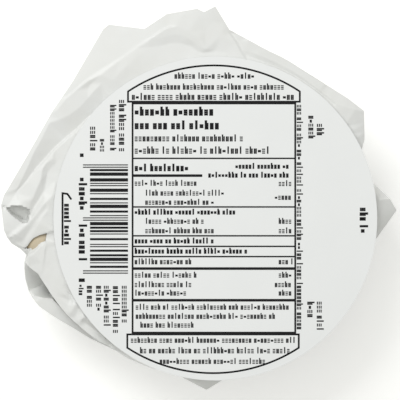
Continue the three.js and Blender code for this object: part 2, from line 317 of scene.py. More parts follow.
LOBE_FOLDS: tuple[FoldLine, ...] = (
    FoldLine("second crest", (
        (-32.6, 25.1, 26.95), (-35.6, 22.2, 26.9), (-38.9, 19.4, 26.85), (-42.1, 16.5, 26.8),
        (-45.1, 13.1, 26.75), (-47.4, 10.7, 26.7), (-49.9, 7.4, 26.65), (-52.8, 4.2, 26.45),
    )),
    FoldLine("streak ridge", (
        (-43.0, 13.8, 26.95), (-44.7, 12.7, 26.9), (-45.8, 10.8, 27.0), (-46.2, 8.0, 27.15),
        (-47.5, 5.1, 27.2), (-48.4, 2.8, 27.1), (-49.2, 0.8, 26.9),
    )),
    FoldLine("streak foot", (
        (-41.6, 13.1, 26.7), (-43.1, 11.7, 26.5), (-44.3, 10.0, 26.4), (-44.7, 7.7, 26.35),
        (-45.3, 4.8, 26.4), (-46.6, 2.4, 26.4), (-48.0, 0.3, 26.3), (-48.8, -1.4, 26.2),
    )),
    FoldLine("streak far side", ((-41.3, 10.2, 26.6), (-42.1, 7.7, 26.65))),
    FoldLine("lobe dip", ((-54.9, 4.8, 26.55), (-53.5, 3.8, 26.3))),
    FoldLine("above the lip", (
        (-55.2, 1.1, 26.65), (-53.6, 1.5, 26.9), (-52.1, 1.5, 27.05), (-50.4, 1.0, 27.05),
    )),
    FoldLine("hollow lip", (
        (-56.8, 0.7, 26.5), (-55.5, 0.1, 26.75), (-54.3, 0.5, 27.1), (-53.2, 0.8, 27.35),
        (-52.0, 0.6, 27.4), (-50.6, 0.0, 27.2), (-49.5, -0.3, 26.85),
    )),
    FoldLine("under the lip", (
        (-56.6, 0.3, 26.0), (-55.5, -0.3, 25.0), (-54.3, 0.0, 24.8), (-53.4, 0.3, 24.8),
        (-52.2, 0.1, 24.7), (-50.9, -0.5, 24.5), (-50.0, -0.8, 24.3),
    )),
    FoldLine("hollow floor", (
        (-54.9, -0.9, 24.4), (-54.1, -1.8, 23.0), (-53.1, -2.5, 22.0), (-52.2, -3.1, 21.4),
        (-51.2, -3.7, 21.2), (-50.5, -3.6, 21.4), (-50.1, -2.2, 22.4),
    )),
    FoldLine("hollow rim", (
        (-56.0, -0.2, 26.5), (-54.8, -1.5, 26.7), (-53.3, -2.7, 26.75), (-52.1, -3.5, 26.8),
        (-51.1, -4.1, 26.85), (-50.2, -4.3, 26.95), (-49.6, -3.1, 27.05), (-49.3, -1.3, 26.9),
    )),
    FoldLine("third ridge", (
        (-43.0, 3.4, 27.2), (-44.4, 2.0, 27.4), (-45.8, 0.6, 27.45), (-46.9, -0.9, 27.4),
        (-47.9, -2.1, 27.35), (-49.0, -3.4, 27.3), (-50.1, -4.7, 27.25), (-51.9, -6.3, 27.15),
        (-53.4, -7.5, 27.05), (-54.7, -8.3, 26.7),
    )),
    FoldLine("third ridge near side", (
        (-43.7, 3.6, 26.95), (-45.0, 2.5, 27.05), (-46.3, 1.0, 27.0), (-47.4, -0.4, 26.95),
        (-48.4, -1.5, 26.9),
    )),
    FoldLine("third ridge dip", (
        (-51.1, -4.2, 26.75), (-52.7, -5.4, 26.6), (-54.0, -6.6, 26.5), (-55.2, -7.6, 26.45),
    )),
    FoldLine("third foot", (
        (-44.5, -0.1, 27.1), (-45.5, -1.2, 27.15), (-46.5, -2.6, 27.15), (-47.6, -3.9, 27.0),
        (-48.4, -5.3, 26.8), (-49.6, -7.0, 26.45), (-50.9, -9.1, 26.1), (-51.6, -10.5, 25.8),
    )),
    FoldLine("fourth ridge", (
        (-44.0, -0.5, 27.25), (-44.9, -1.5, 27.35), (-46.0, -2.8, 27.4), (-46.7, -4.3, 27.4),
        (-47.4, -5.7, 27.2), (-48.4, -7.3, 26.95), (-49.3, -8.8, 26.65), (-50.4, -10.4, 26.2),
    )),
    FoldLine("lobe turn", (
        (-54.7, -8.8, 26.2), (-53.6, -9.9, 25.9), (-52.3, -10.7, 25.8), (-51.3, -11.0, 25.8),
    )),
)

SLIT_FOLDS: tuple[FoldLine, ...] = (
    FoldLine("slit upper lip", (
        (-42.5, -6.4, 27.3), (-44.4, -7.1, 27.15), (-46.4, -7.5, 27.0), (-48.1, -8.3, 26.8),
        (-49.0, -9.2, 26.6), (-49.8, -10.4, 26.3), (-50.8, -11.3, 25.9),
    )),
    FoldLine("slit lower lip", (
        (-42.5, -6.8, 26.9), (-44.3, -7.4, 26.7), (-44.6, -8.4, 26.5), (-44.8, -9.3, 26.3),
        (-46.2, -9.9, 26.0), (-47.3, -10.8, 25.8), (-48.5, -11.3, 25.65), (-49.9, -11.6, 25.5),
        (-50.8, -12.1, 25.3),
    )),
    FoldLine("slit far side", (
        (-45.1, -10.3, 26.6), (-46.7, -11.3, 26.45), (-47.8, -12.5, 26.4), (-49.3, -13.4, 26.2),
        (-50.1, -14.0, 26.0),
    )),
    FoldLine("pleat", (
        (-44.7, -9.8, 26.8), (-45.2, -12.0, 26.75), (-45.6, -14.8, 26.6), (-46.0, -18.1, 26.2),
    )),
    FoldLine("pleat near side", ((-45.6, -11.3, 26.5), (-45.9, -12.5, 26.4), (-46.2, -15.4, 26.3))),
    FoldLine("pleat foot", ((-44.6, -12.0, 26.5), (-45.0, -15.1, 26.35), (-45.4, -18.0, 26.15))),
    FoldLine("lower strip", ((-43.0, -15.4, 26.4), (-41.9, -20.5, 26.4), (-39.9, -25.1, 26.3))),
)


@dataclass(frozen=True)
class Dent:
    """A dent, or a bump with a positive rise, pressed in the paper along a run of (x, y, rise) points.

    Each width says how far it reaches to that side of the run, at its start and at its end.
    """

    run: tuple[Triple, ...]
    left: Pair
    right: Pair


DENTS: tuple[Dent, ...] = (
    Dent(
        ((-38.4, -22.8, -0.3), (-37.3, -24.5, -0.9), (-36.4, -25.9, -0.5)),
        left=(1.0, 1.0), right=(1.8, 1.8),
    ),
    Dent(((-40.7, -25.1, -0.1), (-37.9, -26.5, -0.6)), left=(1.0, 1.0), right=(1.0, 1.0)),
    Dent(((-36.4, -27.3, 0.5), (-37.6, -29.6, 0.4)), left=(1.6, 1.6), right=(1.6, 1.6)),
    Dent(((-33.9, -31.0, 0.5), (-35.0, -32.2, 0.4)), left=(1.4, 1.4), right=(1.4, 1.4)),
    Dent(
        ((-33.9, -32.5, -0.4), (-31.7, -34.2, -1.0), (-29.1, -36.2, -1.6), (-26.5, -38.5, -1.8)),
        left=(1.2, 1.5), right=(1.4, 1.5),
    ),
    Dent(
        ((37.2, 29.6, -0.2), (30.6, 34.3, -0.3), (26.8, 37.0, -0.3), (20.9, 40.2, -0.3),
         (15.6, 42.3, -0.25), (12.5, 43.5, -0.2)),
        left=(0.6, 1.0), right=(0.7, 1.2),
    ),
)


@dataclass(frozen=True)
class Slit:
    """The gap at the left where two plies of the paper part, as a lens seen from above."""

    outline: tuple[Pair, ...] = (
        (-44.4, -7.2), (-46.5, -7.7), (-48.3, -8.6), (-49.1, -9.5), (-50.0, -10.8), (-50.9, -11.6),
        (-50.3, -11.7), (-49.2, -11.4), (-48.1, -11.1), (-47.3, -10.6), (-46.3, -9.9), (-44.9, -9.4),
        (-44.7, -8.5),
    )
    floor: float = 20.5
    over: float = 4.0


@dataclass(frozen=True)
class FoldPlan:
    """The gathered paper's flat facets between its fold lines, its outline and the label's edge."""

    lines: tuple[FoldLine, ...]
    label_inner: float = 45.0
    label_step: float = 3.0
    label_levels: tuple[Pair, ...] = (
        (20.0, 26.6), (30.0, 26.8), (37.0, 26.95), (42.0, 27.25), (60.0, 27.4), (75.0, 27.3),
        (112.0, 27.6), (140.0, 27.0), (190.0, 26.8), (205.0, 26.6), (240.0, 26.5),
    )
    closeness: float = 0.001

    def facets(self, outline: list[Triple], seat: list[Triple]) -> list[tuple[Triple, Triple, Triple]]:
        """Joins all the lines by flat facets.

        Args:
            outline: points of the paper's outer edge.
            seat: points under the label's edge.

        Returns:
            Triangles that cover the gathered paper as seen from above.
        """
        points: list[Triple] = []
        edges: list[tuple[int, int]] = []
        for run in (outline, seat, *(line.points for line in self.lines)):
            first = len(points)
            points.extend(run)
            edges.extend((i, i + 1) for i in range(first, len(points) - 1))
        flat, _, triangles, origins, _, _ = delaunay_2d_cdt(
            [Vector(point[:2]) for point in points], edges, [], 0, self.closeness,
        )
        heights = [self.height_of(place, sources, points) for place, sources in zip(flat, origins)]
        return [tuple((flat[i].x, flat[i].y, heights[i]) for i in corner) for corner in triangles]

    @staticmethod
    def height_of(place: Vector, sources: list[int], points: list[Triple]) -> float:
        """Height of a facet's corner: its own point's, or that of the nearest point for a crossing.

        Args:
            place: the corner as seen from above.
            sources: numbers of the points that it came from.
            points: all the points of the lines.

        Returns:
            The height in millimetres.
        """
        if sources:
            return points[sources[0]][2]
        nearest = min(points, key=lambda point: math.dist(point[:2], place))
        return nearest[2]


class Bend(IntEnum):
    """Numbers of the bends that the paper's outline, rim and seat lie at."""

    TIP = 6
    RIM = 9
    SEAT = 10


@dataclass(frozen=True)
class PaperForm:
    """Works out where the folded paper lies, in millimetres about the wheel's axis.

    The gathered part starts and ends over a pair of angles each. Every course is one more ring of
    vertices on the way up to a bend.
    """

    sizes: Sizes
    corners: tuple[Corner, ...]
    plan: FoldPlan
    dents: tuple[Dent, ...]
    courses: tuple[int, ...] = (0, 2, 2, 2, 2, 4, 6, 6, 7, 7, 36, 4)
    lower_round: tuple[Pair, ...] = ((0.45, 0.12), (0.85, 0.5))
    base_inset: float = 10.0
    seat_inset: float = 6.0
    least_standoff: float = 0.2
    least_bend: float = 0.1
    least_ply: float = 0.4
    least_band: float = 3.5
    cover: float = 0.2
    relief_fade: float = 0.5
    edge_fade: float = 1.2
    edge_step: float = 0.5
    edge_margin: float = 4.0
    seat_margin: float = 6.0
    plan_start: Pair = (20.6, 22.2)
    plan_end: Pair = (237.0, 241.0)
    shelf_end: Pair = (193.0, 197.0)
    least_area: float = 1e-9
    facet_slack: float = 1e-6
    crumple: float = 0.07
    crumple_middle: float = 0.4
    crumple_span: float = 6.0
    crumple_layer: float = 0.5

    def corners_at(self, angle: float) -> tuple[Corner, Corner, float]:
        """Finds the two corners that an angle lies between.

        Args:
            angle: degrees counter-clockwise from +X.

        Returns:
            The corner before, the corner after and how far the angle is from one to the other.
        """
        first = self.corners[0].at
        turned = (angle - first) % 360.0 + first
        ring = (*self.corners, replace(self.corners[0], at=first + 360.0))
        for before, after in zip(ring, ring[1:]):
            if turned < after.at:
                return before, after, (turned - before.at) / (after.at - before.at)
        return ring[-2], ring[-1], 1.0

    @staticmethod
    def chord_reach(angle: float, a: Corner, b: Corner) -> float:
        """Reach at an angle of the straight paper edge between two corners' tips.

        Args:
            angle: degrees counter-clockwise from +X, between the corners.
            a: the corner before.
            b: the corner after.

        Returns:
            The reach in millimetres.
        """
        left = a.tip[0] * math.sin(math.radians(angle - a.at))
        right = b.tip[0] * math.sin(math.radians(b.at - angle))
        return a.tip[0] * b.tip[0] * math.sin(math.radians(b.at - a.at)) / (left + right)

    def label_reach(self, angle: float) -> float:
        """Reach of the label's edge at an angle.

        Args:
            angle: degrees counter-clockwise from +X.

        Returns:
            The reach from the axis in millimetres.
        """
        ox, oy = self.sizes.label_offset
        c, s = math.cos(math.radians(angle)), math.sin(math.radians(angle))
        aside = c * oy - s * ox
        return c * ox + s * oy + math.sqrt(self.sizes.label_radius**2 - aside**2)

    def bends(self, angle: float) -> list[Pair]:
        """Bends of the paper at an angle, from the table up to the folded top.

        Args:
            angle: degrees counter-clockwise from +X.

        Returns:
            Points as (reach, height).
        """
        size = self.sizes
        a, b, t = self.corners_at(angle)
        tip_reach = max(self.chord_reach(mix(a.at, b.at, t), a, b), size.wall + self.least_standoff)
        tip = (tip_reach, mix(a.tip[1], b.tip[1], t))
        shoulder = mix_pair(a.shoulder, b.shoulder, t)
        shoulder = (min(shoulder[0], tip[0] - self.least_bend), shoulder[1])
        hip = mix_pair(a.hip, b.hip, t)
        hip = (min(hip[0], shoulder[0] - self.least_bend / 2.0), hip[1])
        rim = mix_pair(a.rim, b.rim, t)
        rim = (min(rim[0], tip[0] - self.least_ply), rim[1])
        seat_reach = min(self.label_reach(angle) - size.label_margin, rim[0] - self.least_band)
        rest = size.wall - size.lower_edge
        return [
            (rest - self.base_inset, 0.0),
            (rest, 0.0),
            *((rest + size.lower_edge * out, size.lower_edge * up) for out, up in self.lower_round),
            (size.wall, size.lower_edge),
            (size.wall, mix(a.foot, b.foot, t)),
            tip,
            shoulder,
            hip,
            rim,
            (seat_reach, size.folded_top),
            (seat_reach - self.seat_inset, size.folded_top),
        ]

    def ring_of(self, bend: int) -> int:
        """Number of the ring at a bend."""
        return sum(self.courses[: bend + 1])

    def rings(self) -> int:
        """Number of rings from the table to the folded top."""
        return 1 + sum(self.courses)

    def column(self, angle: float) -> np.ndarray:
        """Rings of the paper at one angle, before its folds and dents.

        Args:
            angle: degrees counter-clockwise from +X.

        Returns:
            Rows of reach and height, from the table to the folded top.
        """
        bends = self.bends(angle)
        rows = [bends[0]]
        for number in range(1, len(bends)):
            (r0, z0), (r1, z1), courses = bends[number - 1], bends[number], self.courses[number]
            for course in range(1, courses + 1):
                t = course / courses
                rise = 1.0 - (1.0 - t) ** 2 if number == Bend.SEAT else t
                rows.append((mix(r0, r1, t), mix(z0, z1, rise)))
        return np.array(rows)

    @staticmethod
    def pressed(x: np.ndarray, y: np.ndarray, dent: Dent) -> np.ndarray:
        """Height that one dent adds at points of the upper face.

        Args:
            x: X of the points.
            y: Y of the points.
            dent: the dent or bump.

        Returns:
            The lift at each point.
        """
        lengths = [math.dist(a[:2], b[:2]) for a, b in zip(dent.run, dent.run[1:])]
        nearest = np.full(x.shape, np.inf)
        lift = np.zeros(x.shape)
        passed = 0.0
        for (ax, ay, a_rise), (bx, by, b_rise), length in zip(dent.run, dent.run[1:], lengths):
            dx, dy = bx - ax, by - ay
            t = np.clip(((x - ax) * dx + (y - ay) * dy) / length**2, 0.0, 1.0)
            away = np.hypot(x - ax - t * dx, y - ay - t * dy)
            on_left = dx * (y - ay) - dy * (x - ax) > 0.0
            along = (passed + t * length) / sum(lengths)
            width = np.where(on_left, mix(*dent.left, along), mix(*dent.right, along))
            here = mix(a_rise, b_rise, t) * np.clip(1.0 - away / width, 0.0, None)
            closer = away < nearest
            nearest = np.where(closer, away, nearest)
            lift = np.where(closer, here, lift)
            passed += length
        return lift

    def edge_points(self) -> list[Triple]:
        """Points of the gathered paper's outer edge: its tips, and its rim where a lower ply shows.

        Returns:
            The edge as (x, y, height) points.
        """
        found: list[Triple] = []
        for angle in np.arange(self.plan_start[0], self.plan_end[1] + self.edge_margin, self.edge_step):
            outer = Bend.TIP if angle < self.shelf_end[0] else Bend.RIM
            reach, height = self.bends(float(angle))[outer]
            turn = math.radians(angle)
            found.append((reach * math.cos(turn), reach * math.sin(turn), height))
        return found

    def seat_points(self) -> list[Triple]:
        """Points of the paper under the label's edge, along the gathered part.

        Returns:
            The seat as (x, y, height) points.
        """
        ox, oy = self.sizes.label_offset
        places, levels = zip(*self.plan.label_levels)
        found: list[Triple] = []
        first, last = self.plan_start[0] - self.seat_margin, self.plan_end[1] + self.seat_margin
        for angle in np.arange(first, last, self.plan.label_step):
            turn = math.radians(angle)
            x, y = ox + self.plan.label_inner * math.cos(turn), oy + self.plan.label_inner * math.sin(turn)
            found.append((x, y, float(np.interp(angle, places, levels))))
        return found

    def planned(self, x: np.ndarray, y: np.ndarray) -> np.ndarray:
        """Heights of the facets at points, or no number where there is no facet.

        Args:
            x: X of the points.
            y: Y of the points.

        Returns:
            The height at each point.
        """
        slack = self.facet_slack
        found = np.full(x.shape, np.nan)
        for a, b, c in self.plan.facets(self.edge_points(), self.seat_points()):
            area = (b[0] - a[0]) * (c[1] - a[1]) - (b[1] - a[1]) * (c[0] - a[0])
            if abs(area) < self.least_area:
                continue
            share_b = ((x - a[0]) * (c[1] - a[1]) - (y - a[1]) * (c[0] - a[0])) / area
            share_c = ((b[0] - a[0]) * (y - a[1]) - (b[1] - a[1]) * (x - a[0])) / area
            inside = (share_b >= -slack) & (share_c >= -slack) & (share_b + share_c <= 1.0 + slack)
            height = a[2] + share_b * (b[2] - a[2]) + share_c * (c[2] - a[2])
            found = np.where(inside & np.isnan(found), height, found)
        return found

    def cover_height(self, reach: np.ndarray) -> np.ndarray:
        """Lowest height that the upper face may have at a reach and still cover the cheese.

        Args:
            reach: distances from the axis.

        Returns:
            The height at each reach.
        """
        size = self.sizes
        bend = np.clip(reach - (size.cheese_radius - size.cheese_edge), 0.0, size.cheese_edge)
        top = size.cheese_top + self.cover
        return np.where(
            reach < size.cheese_radius,
            top - size.cheese_edge + np.sqrt(size.cheese_edge**2 - bend**2),
            0.0,
        )

    def surface(self, angles: list[float]) -> np.ndarray:
        """Places of the paper's outer skin.

        Args:
            angles: degrees of the columns, counter-clockwise.

        Returns:
            X, Y and Z in millimetres for every column and ring.
        """
        table = np.array([self.column(angle) for angle in angles])
        reach, height = table[..., 0], table[..., 1].copy()
        turned = np.array(angles)[:, None] % 360.0
        turn = np.radians(turned)
        x, y = reach * np.cos(turn), reach * np.sin(turn)
        ring = np.arange(reach.shape[1])[None, :]
        tip_ring, rim_ring = self.ring_of(Bend.TIP), self.ring_of(Bend.RIM)
        facets = self.planned(x, y)
        grown = np.interp(turned, self.plan_start, (0.0, 1.0))
        grown = grown * np.interp(turned, self.plan_end, (1.0, 0.0))
        shelf = np.interp(turned, self.shelf_end, (1.0, 0.0))
        share = np.where(ring >= rim_ring, grown, grown * shelf) * (ring > tip_ring)
        share = np.where(np.isnan(facets), 0.0, share)
        height = height + share * (np.nan_to_num(facets) - height)
        ox, oy = self.sizes.label_offset
        clear = np.clip((np.hypot(x - ox, y - oy) - self.sizes.label_radius) / self.relief_fade, 0.0, 1.0)
        tip = reach[:, tip_ring][:, None]
        edge = np.clip((tip - reach) / self.edge_fade, 0.0, 1.0)
        lift = sum((self.pressed(x, y, dent) for dent in self.dents), self.crumples(x, y)) * clear * edge
        covered = np.maximum(height + lift, self.cover_height(reach))
        height = np.where(ring > tip_ring, covered, height)
        return np.stack([x, y, height], axis=-1)

    def crumples(self, x: np.ndarray, y: np.ndarray) -> np.ndarray:
        """Small unevenness of the paper, a few millimetres wide.

        Args:
            x: X of the points.
            y: Y of the points.

        Returns:
            The lift at each point.
        """
        span = self.crumple_span
        nearest = [
            noise.voronoi(Vector((px / span, py / span, self.crumple_layer)))[0][0]
            for px, py in zip(x.ravel(), y.ravel())
        ]
        return (np.array(nearest).reshape(x.shape) - self.crumple_middle) * self.crumple


class Shades:
    """Shader node groups that more than one finish uses."""

    @staticmethod
    def grain() -> bpy.types.NodeTree:
        """Builds the fine grain of paper and rind, as a height and as a soft mask.

        Returns:
            The node group, the same one at every call.
        """
        name = "fine_grain"
        if name in bpy.data.node_groups:
            return bpy.data.node_groups[name]
        tree = bpy.data.node_groups.new(name, "ShaderNodeTree")
        for label, default in (("Fine Scale", 900.0), ("Broad Scale", 60.0), ("Broad Share", 0.5)):
            socket = tree.interface.new_socket(label, in_out="INPUT", socket_type="NodeSocketFloat")
            socket.default_value = default
        for label in ("Height", "Mask"):
            tree.interface.new_socket(label, in_out="OUTPUT", socket_type="NodeSocketFloat")
        enter = tree.nodes.new("NodeGroupInput")
        leave = tree.nodes.new("NodeGroupOutput")
        place = tree.nodes.new("ShaderNodeTexCoord")
        fine = tree.nodes.new("ShaderNodeTexNoise")
        fine.inputs["Detail"].default_value = 4.0
        broad = tree.nodes.new("ShaderNodeTexNoise")
        broad.inputs["Detail"].default_value = 3.0
        blend = tree.nodes.new("ShaderNodeMix")
        link = tree.links.new
        link(place.outputs["Object"], fine.inputs["Vector"])
        link(place.outputs["Object"], broad.inputs["Vector"])
        link(enter.outputs["Fine Scale"], fine.inputs["Scale"])
        link(enter.outputs["Broad Scale"], broad.inputs["Scale"])
        link(enter.outputs["Broad Share"], blend.inputs["Factor"])
        link(fine.outputs["Fac"], blend.inputs["A"])
        link(broad.outputs["Fac"], blend.inputs["B"])
        link(blend.outputs["Result"], leave.inputs["Height"])
        link(broad.outputs["Fac"], leave.inputs["Mask"])
        return tree


@dataclass(frozen=True)
class GrainedFinish:
    """A finish of two tones mixed by a grain that also roughens the surface."""

    name: str
    tone: Triple
    other_tone: Triple
    roughness: float
    roughness_spread: float
    fine_scale: float
    broad_scale: float
    broad_share: float
    bump: float
    bump_depth: float
    mask_low: float = 0.35
    mask_high: float = 0.65
    gloss: float = 0.5

    def material(self) -> bpy.types.Material:
        """Builds the material.

        Returns:
            A new material with this finish.
        """
        material = bpy.data.materials.new(self.name)
        material.use_nodes = True
        tree = material.node_tree
        shader = tree.nodes["Principled BSDF"]
        shader.inputs["Specular IOR Level"].default_value = self.gloss
        link = tree.links.new
        grain = tree.nodes.new("ShaderNodeGroup")
        grain.node_tree = Shades.grain()
        grain.inputs["Fine Scale"].default_value = self.fine_scale
        grain.inputs["Broad Scale"].default_value = self.broad_scale
        grain.inputs["Broad Share"].default_value = self.broad_share
        tones = tree.nodes.new("ShaderNodeValToRGB")
        tones.color_ramp.elements[0].position = self.mask_low
        tones.color_ramp.elements[0].color = (*self.tone, 1.0)
        tones.color_ramp.elements[1].position = self.mask_high
        tones.color_ramp.elements[1].color = (*self.other_tone, 1.0)
        rough = tree.nodes.new("ShaderNodeMapRange")
        rough.inputs["To Min"].default_value = self.roughness - self.roughness_spread
        rough.inputs["To Max"].default_value = self.roughness + self.roughness_spread
        bump = tree.nodes.new("ShaderNodeBump")
        bump.inputs["Strength"].default_value = self.bump
        bump.inputs["Distance"].default_value = self.bump_depth * MM
        link(grain.outputs["Mask"], tones.inputs["Fac"])
        link(tones.outputs["Color"], shader.inputs["Base Color"])
        link(grain.outputs["Mask"], rough.inputs["Value"])
        link(rough.outputs["Result"], shader.inputs["Roughness"])
        link(grain.outputs["Height"], bump.inputs["Height"])
        link(bump.outputs["Normal"], shader.inputs["Normal"])
        return material

    def dress(self, piece: bpy.types.Object) -> None:
        """Gives a piece this finish all over."""
        piece.data.materials.clear()
        piece.data.materials.append(self.material())


WRAPPING = GrainedFinish(
    name="coated_wrapping_paper",
    tone=(0.765, 0.77, 0.75), other_tone=(0.78, 0.787, 0.775),
    roughness=0.42, roughness_spread=0.05,
    fine_scale=1400.0, broad_scale=120.0, broad_share=0.6,
    bump=0.25, bump_depth=0.08,
)
LABEL_STOCK = GrainedFinish(
    name="label_stock",
    tone=(0.83, 0.842, 0.84), other_tone=(0.845, 0.857, 0.855),
    roughness=0.5, roughness_spread=0.04,
    fine_scale=1600.0, broad_scale=70.0, broad_share=0.5,
    bump=0.15, bump_depth=0.05,
)
PRINTING_INK = GrainedFinish(
    name="printing_ink",
    tone=(0.004, 0.004, 0.005), other_tone=(0.009, 0.009, 0.01),
    roughness=0.5, roughness_spread=0.06,
    fine_scale=1800.0, broad_scale=300.0, broad_share=0.4,
    bump=0.1, bump_depth=0.03, gloss=0.15,
)
BLOOMY_RIND = GrainedFinish(
    name="bloomy_rind",
    tone=(0.60, 0.50, 0.34), other_tone=(0.66, 0.59, 0.47),
    roughness=0.85, roughness_spread=0.08,
    fine_scale=700.0, broad_scale=140.0, broad_share=0.5,
    bump=0.6, bump_depth=0.3,
)


@dataclass
class Wrapper:
    """The folded paper, as one thin skin with the slit cut through it."""

    form: PaperForm
    slit: Slit
    axis: Vector
    fine_arc: Pair = (20.0, 246.0)
    fine_step: float = 0.5
    plain_step: float = 2.0
    skin: float = 0.15
    soft_angle: float = 40.0

    def angles(self) -> list[float]:
        """Angles of the columns: every corner of the paper, and even steps between.

        Returns:
            Degrees counter-clockwise, in order.
        """
        found: list[float] = []
        corners = self.form.corners
        closing = replace(corners[0], at=corners[0].at + 360.0)
        for corner, after in zip(corners, (*corners[1:], closing)):
            middle = (corner.at + after.at) / 2.0
            fine = self.fine_arc[0] < middle < self.fine_arc[1]
            step = self.fine_step if fine else self.plain_step
            steps = max(1, round((after.at - corner.at) / step))
            found.extend(mix(corner.at, after.at, i / steps) for i in range(steps))
        return found

    def model(self) -> bpy.types.Object:
        """Models the paper from a drum that is divided into courses and pressed to the form.

        Returns:
            The paper's outer skin, without thickness.
        """
        angles = self.angles()
        rings = self.form.rings()
        deselect_all()
        bpy.ops.mesh.primitive_cylinder_add(
            vertices=len(angles), radius=1.0, depth=1.0, end_fill_type="TRIFAN",
        )
        paper = bpy.context.object
        paper.name = "folded_paper"
        mesh = paper.data
        mesh.name = paper.name
        bpy.ops.object.mode_set(mode="EDIT")
        bpy.ops.mesh.select_mode(type="EDGE")
        bpy.ops.mesh.select_all(action="DESELECT")
        bpy.ops.object.mode_set(mode="OBJECT")
        for edge in mesh.edges:
            low, high = (mesh.vertices[i].co.z for i in edge.vertices)
            edge.select = abs(high - low) > HALF
        bpy.ops.object.mode_set(mode="EDIT")
        bpy.ops.mesh.subdivide(number_cuts=rings - 2)
        bpy.ops.object.mode_set(mode="OBJECT")
        self.press(mesh, angles, rings)
        return paper

    def press(self, mesh: bpy.types.Mesh, angles: list[float], rings: int) -> None:
        """Moves the drum's vertices onto the paper's form.

        Args:
            mesh: the drum, one metre high and of one metre radius, with its caps as fans.
            angles: angle of each column.
            rings: number of rings in its wall.
        """
        table = self.form.surface(angles)
        drum = vertex_places(mesh)
        columns = len(angles)
        turn = np.arctan2(drum[:, 1], drum[:, 0]) - math.pi / 2.0
        column = np.round(turn / (2.0 * math.pi / columns)).astype(int) % columns
        ring = np.clip(np.round((drum[:, 2] + HALF) * (rings - 1)).astype(int), 0, rings - 1)
        places = table[column, ring]
        middle = np.hypot(drum[:, 0], drum[:, 1]) < HALF
        places[middle, :2] = 0.0
        set_vertex_places(mesh, places * MM + np.array([self.axis.x, self.axis.y, 0.0]))

    def cutter(self) -> bpy.types.Object:
        """Models the prism that cuts the slit.

        Returns:
            The prism, to be removed after the cut.
        """
        deselect_all()
        mesh = bpy.data.meshes.new("slit_cutter")
        floor = self.slit.floor * MM
        outline = [(self.axis.x + x * MM, self.axis.y + y * MM, floor) for x, y in self.slit.outline]
        mesh.from_pydata(outline, [], [tuple(range(len(outline)))])
        tool = add_object("slit_cutter", mesh)
        bpy.context.view_layer.objects.active = tool
        tool.select_set(True)
        bpy.ops.object.mode_set(mode="EDIT")
        bpy.ops.mesh.select_all(action="SELECT")
        rise = (self.form.sizes.folded_top + self.slit.over - self.slit.floor) * MM
        bpy.ops.mesh.extrude_region_move(TRANSFORM_OT_translate={"value": (0.0, 0.0, rise)})
        bpy.ops.mesh.select_all(action="SELECT")
        bpy.ops.mesh.normals_make_consistent(inside=False)
        bpy.ops.object.mode_set(mode="OBJECT")
        return tool

    def build(self) -> None:
        """Models the paper, gives it its thickness, cuts the slit and dresses it."""
        paper = self.model()
        wall = paper.modifiers.new("thickness", "SOLIDIFY")
        wall.thickness = self.skin * MM
        wall.offset = -1.0
        apply_modifiers(paper)
        tool = self.cutter()
        cut = paper.modifiers.new("slit", "BOOLEAN")
        cut.operation = "DIFFERENCE"
        cut.solver = "EXACT"
        cut.object = tool
        apply_modifiers(paper)
        bpy.data.objects.remove(tool)
        deselect_all()
        paper.select_set(True)
        bpy.context.view_layer.objects.active = paper
        bpy.ops.object.shade_smooth_by_angle(angle=math.radians(self.soft_angle))
        WRAPPING.dress(paper)
        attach(paper, "root")
        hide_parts("wrapper")
        LOG.info("%s: %d faces", paper.name, len(paper.data.polygons))


@dataclass(frozen=True)
class LabelForm:
    """Where the label's upper face lies, in millimetres about its own centre."""

    radius: float = SIZES.label_radius
    height: float = 28.22
    wave: float = 0.05
    wave_span: float = 22.0
    droop: float = 0.04
    droop_from: float = 40.0
    droop_towards: float = -45.0
    wave_layer: float = 3.0

    def rise(self, x: float, y: float) -> float:
        """Height of the label's upper face at a point.

        Args:
            x: X from the label's centre.
            y: Y from the label's centre.

        Returns:
            The height in millimetres.
        """
        ripple = self.wave * noise.noise(Vector((x / self.wave_span, y / self.wave_span, self.wave_layer)))
        turn = math.radians(self.droop_towards)
        towards = x * math.cos(turn) + y * math.sin(turn)
        past = max(0.0, towards - self.droop_from) / (self.radius - self.droop_from)
        return self.height + ripple - self.droop * past**2


